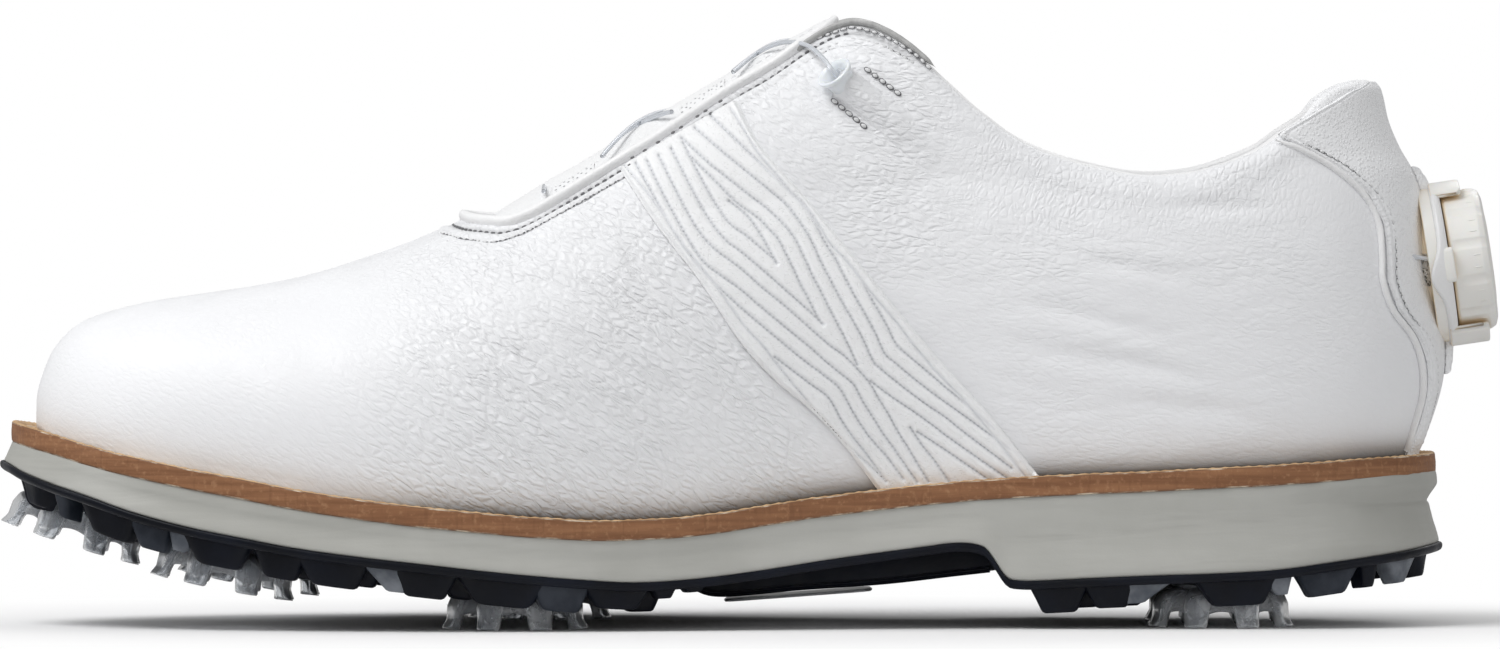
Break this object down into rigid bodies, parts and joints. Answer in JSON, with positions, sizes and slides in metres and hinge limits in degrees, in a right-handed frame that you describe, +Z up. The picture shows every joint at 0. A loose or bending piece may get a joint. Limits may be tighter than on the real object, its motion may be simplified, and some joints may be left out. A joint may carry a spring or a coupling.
{
  "type": "golf shoe",
  "caption": "Spiked golf shoe for the right foot, with a welted sole, quilted saddle strap and thin laces drawn tight by a dial on the heel.",
  "frame": {"origin": "middle of the shoe's bounding box in plan, at the ground under the cleat tips", "axes": "-X to the toe, +X to the heel and its dial, -Y to the medial side, +Y to the lateral side, +Z up"},
  "size_m": [0.2994, 0.1046, 0.1221],
  "materials": {
    "outsole_rubber": "matte black-blue moulded rubber",
    "midsole_foam": "matte grey with fine horizontal wrinkles",
    "welt_leather": "burnished tan leather, stitched",
    "cork": "granular cork",
    "steel": "brushed",
    "board": "pressed fibre board",
    "footbed_foam": "fabric-covered foam",
    "badge_plastic": "plain pale plate",
    "white_leather": "pebbled white full-grain leather",
    "quilted_leather": "fine textured white leather with quilted stitching",
    "fine_leather": "smooth fine-grain white leather",
    "lining_fabric": "soft white knitted lining",
    "dial_plastic": "cream moulded plastic",
    "cleat_plastic": "smoky clear moulded plastic",
    "seat_plastic": "black nylon",
    "webbing": "woven webbing",
    "lace_cord": "thin coated steel cord"
  },
  "bodies": {
    "shoe": {"outsole": "outsole_rubber", "midsole": "midsole_foam", "welt": "welt_leather", "bottom_filler": "cork", "shank": "steel", "insole_board": "board", "footbed": "footbed_foam", "waist_badge": "badge_plastic", "receptacle_toe": "seat_plastic", "receptacle_fore_medial": "seat_plastic", "receptacle_fore_lateral": "seat_plastic", "receptacle_ball_medial": "seat_plastic", "receptacle_ball_lateral": "seat_plastic", "receptacle_heel_medial": "seat_plastic", "receptacle_heel_lateral": "seat_plastic", "vamp": "white_leather", "quarter_medial": "white_leather", "quarter_lateral": "white_leather", "saddle_strap_medial": "quilted_leather", "saddle_strap_lateral": "quilted_leather", "backstay": "fine_leather", "dial_patch": "fine_leather", "toe_puff": "board", "heel_counter": "board", "lining": "lining_fabric", "throat_piping": "fine_leather", "heel_bead_medial": "fine_leather", "heel_bead_lateral": "fine_leather", "tongue_gusset_medial": "lining_fabric", "tongue_gusset_lateral": "lining_fabric", "dial_base": "dial_plastic", "dial_screw": "steel", "lace_ferrule_medial": "dial_plastic", "lace_ferrule_lateral": "dial_plastic", "lace_tube_medial": "dial_plastic", "lace_tube_lateral": "dial_plastic", "lace_run_medial": "lace_cord", "lace_run_lateral": "lace_cord", "lace_guide_upper_medial": "webbing", "lace_guide_upper_lateral": "webbing", "lace_guide_lower_medial": "webbing", "lace_guide_lower_lateral": "webbing"},
    "dial_knob_body": {"dial_knob": "dial_plastic", "dial_cap": "dial_plastic"},
    "dial_clutch_body": {"dial_clutch": "steel"},
    "dial_spool_body": {"dial_spool": "dial_plastic"},
    "tongue_body": {"tongue": "lining_fabric", "lace_cross_top": "lace_cord", "lace_cross_middle": "lace_cord", "lace_cross_front": "lace_cord"},
    "cleat_toe_body": {"cleat_toe": "cleat_plastic"},
    "cleat_fore_medial_body": {"cleat_fore_medial": "cleat_plastic"},
    "cleat_fore_lateral_body": {"cleat_fore_lateral": "cleat_plastic"},
    "cleat_ball_medial_body": {"cleat_ball_medial": "cleat_plastic"},
    "cleat_ball_lateral_body": {"cleat_ball_lateral": "cleat_plastic"},
    "cleat_heel_medial_body": {"cleat_heel_medial": "cleat_plastic"},
    "cleat_heel_lateral_body": {"cleat_heel_lateral": "cleat_plastic"}
  },
  "joints": [
    {"name": "dial_pull", "type": "slide", "parent": "shoe", "child": "dial_clutch_body", "axis": [0.9893, 0, 0.1461], "range_m": [0, 0.0015]},
    {"name": "dial_turn", "type": "hinge", "parent": "dial_clutch_body", "child": "dial_knob_body", "pos_m": [0.13945, -0.00098, 0.0722], "axis": [0.9893, 0, 0.1461], "continuous": true},
    {"name": "spool_turn", "type": "hinge", "parent": "shoe", "child": "dial_spool_body", "pos_m": [0.13945, -0.00098, 0.0722], "axis": [0.9893, 0, 0.1461], "continuous": true},
    {"name": "tongue_lift", "type": "hinge", "parent": "shoe", "child": "tongue_body", "pos_m": [-0.05175, -0.00329, 0.0802], "axis": [0, -1, 0], "range_deg": [0, 28]},
    {"name": "cleat_toe_twist", "type": "hinge", "parent": "shoe", "child": "cleat_toe_body", "pos_m": [-0.13365, -0.00698, 0.02475], "axis": [0.3105, 0, 0.9506], "range_deg": [0, 60]},
    {"name": "cleat_fore_medial_twist", "type": "hinge", "parent": "shoe", "child": "cleat_fore_medial_body", "pos_m": [-0.10385, -0.02659, 0.01682], "axis": [0.191, 0, 0.9816], "range_deg": [0, 60]},
    {"name": "cleat_fore_lateral_twist", "type": "hinge", "parent": "shoe", "child": "cleat_fore_lateral_body", "pos_m": [-0.09975, 0.01942, 0.01607], "axis": [0.1832, 0, 0.9831], "range_deg": [0, 60]},
    {"name": "cleat_ball_medial_twist", "type": "hinge", "parent": "shoe", "child": "cleat_ball_medial_body", "pos_m": [-0.04705, -0.02918, 0.0089], "axis": [0, 0, 1], "range_deg": [0, 60]},
    {"name": "cleat_ball_lateral_twist", "type": "hinge", "parent": "shoe", "child": "cleat_ball_lateral_body", "pos_m": [-0.04275, 0.02862, 0.0089], "axis": [0, 0, 1], "range_deg": [0, 60]},
    {"name": "cleat_heel_medial_twist", "type": "hinge", "parent": "shoe", "child": "cleat_heel_medial_body", "pos_m": [0.09375, -0.01639, 0.0089], "axis": [0, 0, 1], "range_deg": [0, 60]},
    {"name": "cleat_heel_lateral_twist", "type": "hinge", "parent": "shoe", "child": "cleat_heel_lateral_body", "pos_m": [0.09375, 0.01521, 0.0089], "axis": [0, 0, 1], "range_deg": [0, 60]}
  ],
  "couplings": [
    {"joint": "spool_turn", "follows": "dial_turn", "ratio": 1}
  ]
}
